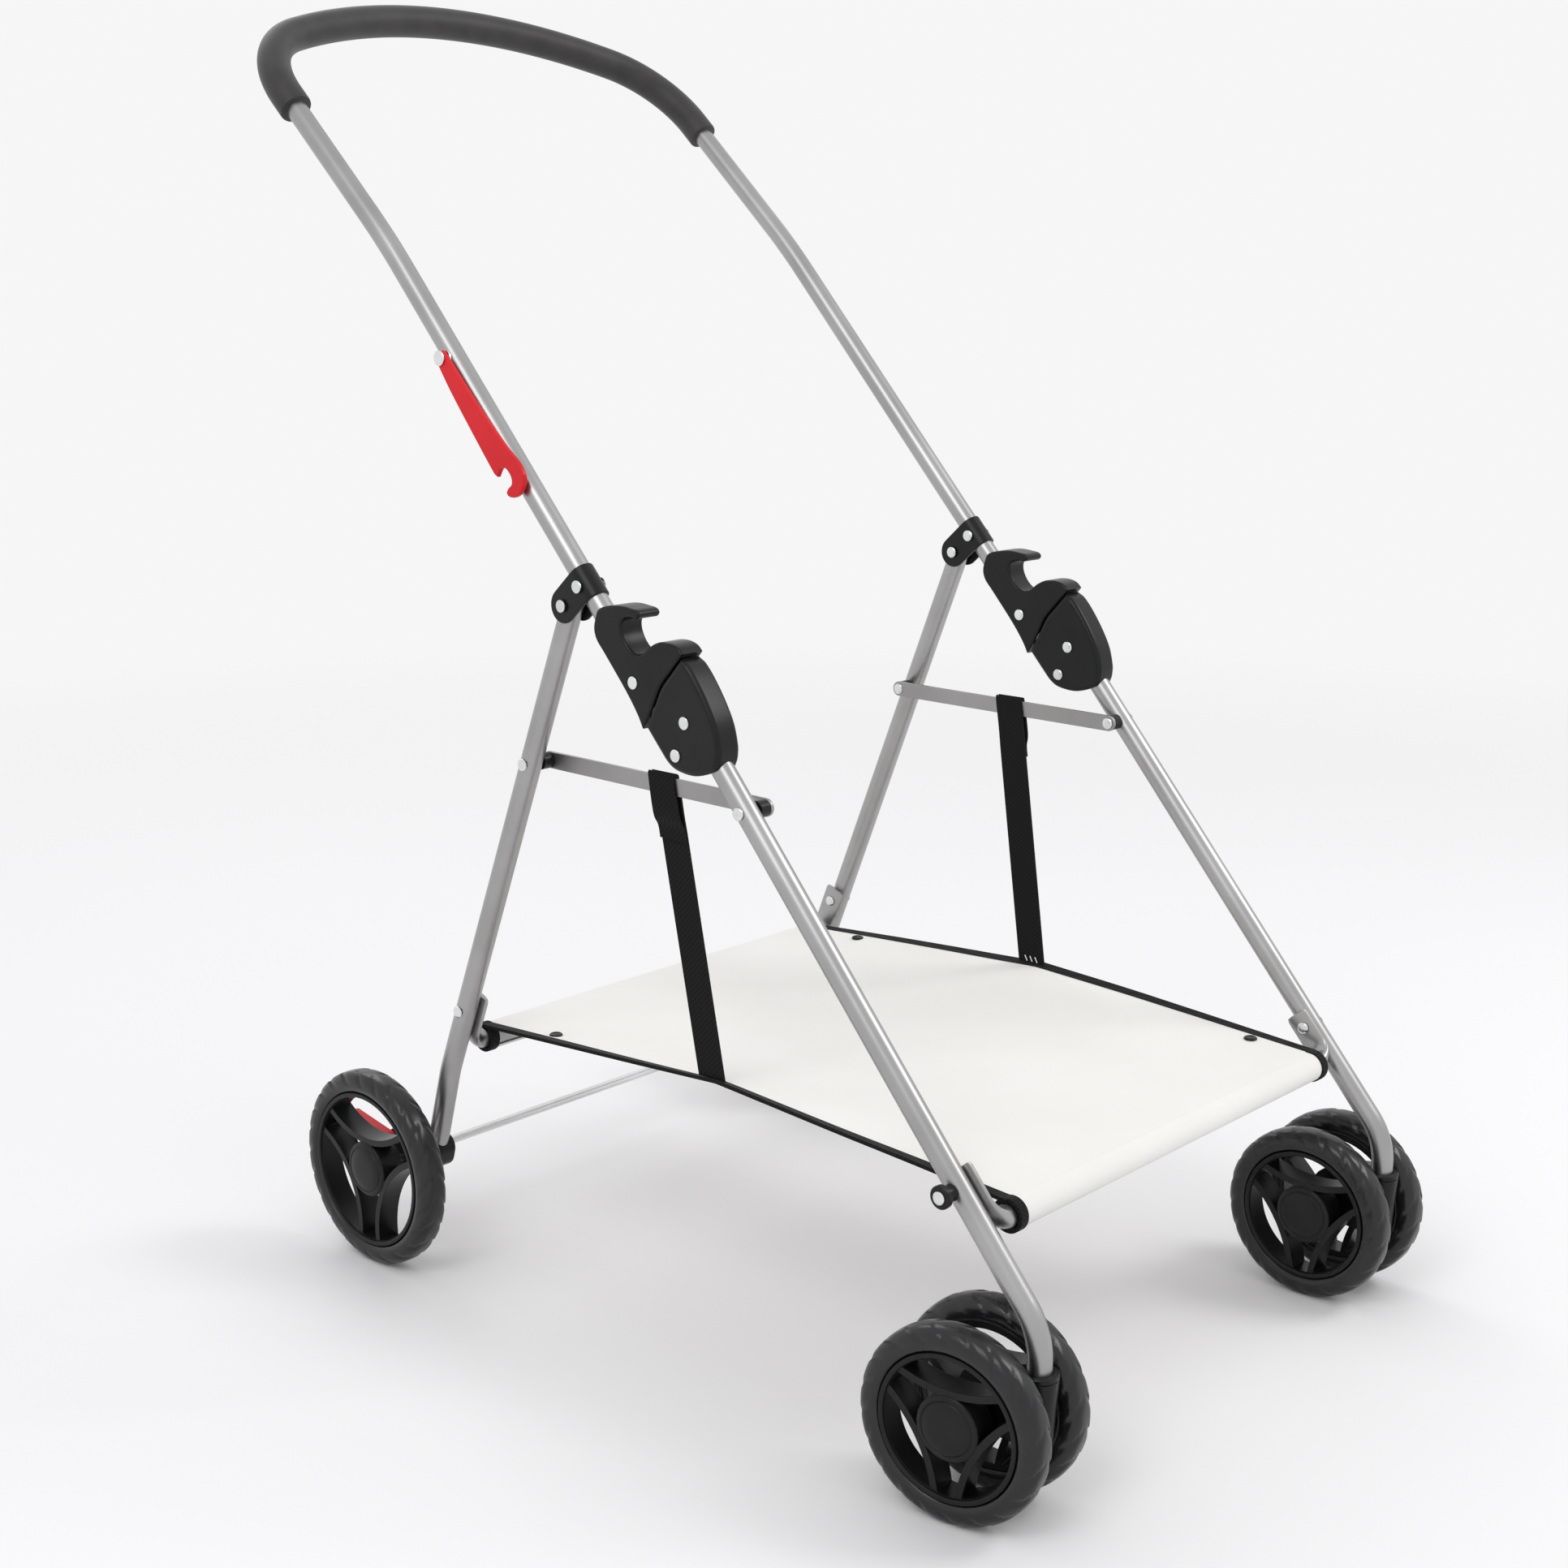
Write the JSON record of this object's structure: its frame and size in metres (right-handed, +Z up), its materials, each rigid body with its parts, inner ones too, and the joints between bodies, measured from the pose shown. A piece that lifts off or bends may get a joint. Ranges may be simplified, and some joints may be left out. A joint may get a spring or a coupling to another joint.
{
  "type": "pet stroller frame",
  "caption": "Folding tube frame with an arched push handle, latch levers, link bars, swivelling twin-wheel casters, braked rear wheels and a cloth basket sheet.",
  "frame": {"origin": "on the floor below the middle of the part's bounding box", "axes": "+Z up, -Y toward the casters (the front), +Y toward the push handle, +X toward the side without the hook"},
  "size_m": [0.5275, 0.8284, 0.9694],
  "materials": {
    "anodised_tube": "satin silver-grey",
    "painted_steel": "satin grey coat",
    "bright_steel": "bright zinc plate",
    "black_plastic": "satin black",
    "red_plastic": "smooth red",
    "foam": "matt closed-cell foam",
    "tyre": "matt, smooth tread",
    "sheet_cloth": "plain off-white weave",
    "webbing": "black woven tape"
  },
  "bodies": {
    "front_frame": {"front_leg_left": "anodised_tube", "front_leg_right": "anodised_tube", "hinge_housing_left": "black_plastic", "hinge_housing_right": "black_plastic", "fold_pin_left": "bright_steel", "fold_pin_right": "bright_steel", "front_link_pin_left": "bright_steel", "front_link_pin_right": "bright_steel", "front_cross_tube": "anodised_tube", "latch_stud": "black_plastic", "caster_collar_left": "black_plastic", "caster_collar_right": "black_plastic", "basket_sheet": "sheet_cloth"},
    "handle": {"handle_tube": "anodised_tube", "foam_grip": "foam", "strap_bracket_left": "black_plastic", "strap_bracket_right": "black_plastic", "rear_pivot_pin_left": "bright_steel", "rear_pivot_pin_right": "bright_steel", "hook_rivet": "bright_steel", "latch_spring_left": "bright_steel", "latch_spring_right": "bright_steel"},
    "hook": {"transport_hook": "red_plastic"},
    "rear_frame": {"rear_leg_left": "anodised_tube", "rear_leg_right": "anodised_tube", "rear_cross_tube": "anodised_tube", "axle_socket_left": "black_plastic", "axle_socket_right": "black_plastic", "rear_axle": "bright_steel", "rear_link_pin_left": "bright_steel", "rear_link_pin_right": "bright_steel", "pedal_pin_left": "bright_steel", "pedal_pin_right": "bright_steel"},
    "latch_left": {"latch_lever_left": "black_plastic", "lever_rivet_left": "bright_steel"},
    "link_left": {"link_bar_left": "painted_steel", "strap_left": "webbing"},
    "brake_left": {"brake_pedal_left": "red_plastic"},
    "caster_left": {"caster_fork_left": "black_plastic", "front_axle_left": "bright_steel"},
    "rear_wheel_left": {"tyre_rear_left": "tyre", "rim_rear_left": "black_plastic"},
    "front_wheel_left_outer": {"tyre_front_left_outer": "tyre", "rim_front_left_outer": "black_plastic"},
    "front_wheel_left_inner": {"tyre_front_left_inner": "tyre", "rim_front_left_inner": "black_plastic"},
    "latch_right": {"latch_lever_right": "black_plastic", "lever_rivet_right": "bright_steel"},
    "link_right": {"link_bar_right": "painted_steel", "strap_right": "webbing"},
    "brake_right": {"brake_pedal_right": "red_plastic"},
    "caster_right": {"caster_fork_right": "black_plastic", "front_axle_right": "bright_steel"},
    "rear_wheel_right": {"tyre_rear_right": "tyre", "rim_rear_right": "black_plastic"},
    "front_wheel_right_outer": {"tyre_front_right_outer": "tyre", "rim_front_right_outer": "black_plastic"},
    "front_wheel_right_inner": {"tyre_front_right_inner": "tyre", "rim_front_right_inner": "black_plastic"}
  },
  "joints": [
    {"name": "handle_fold", "type": "hinge", "parent": "front_frame", "child": "handle", "pos_m": [0, -0.0896, 0.4435], "axis": [-1, 0, 0], "range_deg": [0, 110], "deforming": ["basket_sheet", "strap_left", "strap_right"]},
    {"name": "rear_fold", "type": "hinge", "parent": "handle", "child": "rear_frame", "pos_m": [0, 0.02009, 0.53245], "axis": [1, 0, 0], "range_deg": [0, 50.8]},
    {"name": "hook_swing", "type": "hinge", "parent": "handle", "child": "hook", "pos_m": [-0.224, 0.13824, 0.69654], "axis": [1, 0, 0], "range_deg": [-100, 100]},
    {"name": "latch_slide_left", "type": "slide", "parent": "handle", "child": "latch_left", "axis": [0, 0.6691, 0.7431], "range_m": [0, 0.008], "stiffness_N_per_m": 400, "springref_m": -0.01, "deforming": ["latch_spring_left"]},
    {"name": "link_turn_left", "type": "hinge", "parent": "front_frame", "child": "link_left", "pos_m": [0.214, -0.14431, 0.41231], "axis": [-1, 0, 0], "range_deg": [0, 81.3]},
    {"name": "pedal_press_left", "type": "hinge", "parent": "rear_frame", "child": "brake_left", "pos_m": [0.214, 0.23311, 0.09], "axis": [-1, 0, 0], "range_deg": [0, 18]},
    {"name": "caster_swivel_left", "type": "hinge", "parent": "front_frame", "child": "caster_left", "pos_m": [0.214, -0.38848, 0.08], "axis": [0, 0, 1], "continuous": true},
    {"name": "rear_wheel_spin_left", "type": "hinge", "parent": "rear_frame", "child": "rear_wheel_left", "pos_m": [0.2511, 0.22111, 0.077], "axis": [1, 0, 0], "continuous": true},
    {"name": "front_wheel_spin_left_outer", "type": "hinge", "parent": "caster_left", "child": "front_wheel_left_outer", "pos_m": [0.239, -0.34378, 0.065], "axis": [1, 0, 0], "continuous": true},
    {"name": "front_wheel_spin_left_inner", "type": "hinge", "parent": "caster_left", "child": "front_wheel_left_inner", "pos_m": [0.189, -0.34378, 0.065], "axis": [1, 0, 0], "continuous": true},
    {"name": "latch_slide_right", "type": "slide", "parent": "handle", "child": "latch_right", "axis": [0, 0.6691, 0.7431], "range_m": [0, 0.008], "stiffness_N_per_m": 400, "springref_m": -0.01, "deforming": ["latch_spring_right"]},
    {"name": "link_turn_right", "type": "hinge", "parent": "front_frame", "child": "link_right", "pos_m": [-0.214, -0.14431, 0.41231], "axis": [-1, 0, 0], "range_deg": [0, 81.3]},
    {"name": "pedal_press_right", "type": "hinge", "parent": "rear_frame", "child": "brake_right", "pos_m": [-0.214, 0.23311, 0.09], "axis": [-1, 0, 0], "range_deg": [0, 18]},
    {"name": "caster_swivel_right", "type": "hinge", "parent": "front_frame", "child": "caster_right", "pos_m": [-0.214, -0.38848, 0.08], "axis": [0, 0, 1], "continuous": true},
    {"name": "rear_wheel_spin_right", "type": "hinge", "parent": "rear_frame", "child": "rear_wheel_right", "pos_m": [-0.2511, 0.22111, 0.077], "axis": [1, 0, 0], "continuous": true},
    {"name": "front_wheel_spin_right_outer", "type": "hinge", "parent": "caster_right", "child": "front_wheel_right_outer", "pos_m": [-0.24491, -0.34764, 0.065], "axis": [0.9905, 0.1374, 0], "continuous": true},
    {"name": "front_wheel_spin_right_inner", "type": "hinge", "parent": "caster_right", "child": "front_wheel_right_inner", "pos_m": [-0.19538, -0.34077, 0.065], "axis": [0.9905, 0.1374, 0], "continuous": true}
  ],
  "couplings": [
    {"joint": "rear_fold", "follows": "handle_fold", "ratio": 0.4611},
    {"joint": "link_turn_left", "follows": "handle_fold", "ratio": 0.7379},
    {"joint": "link_turn_right", "follows": "handle_fold", "ratio": 0.7379}
  ]
}
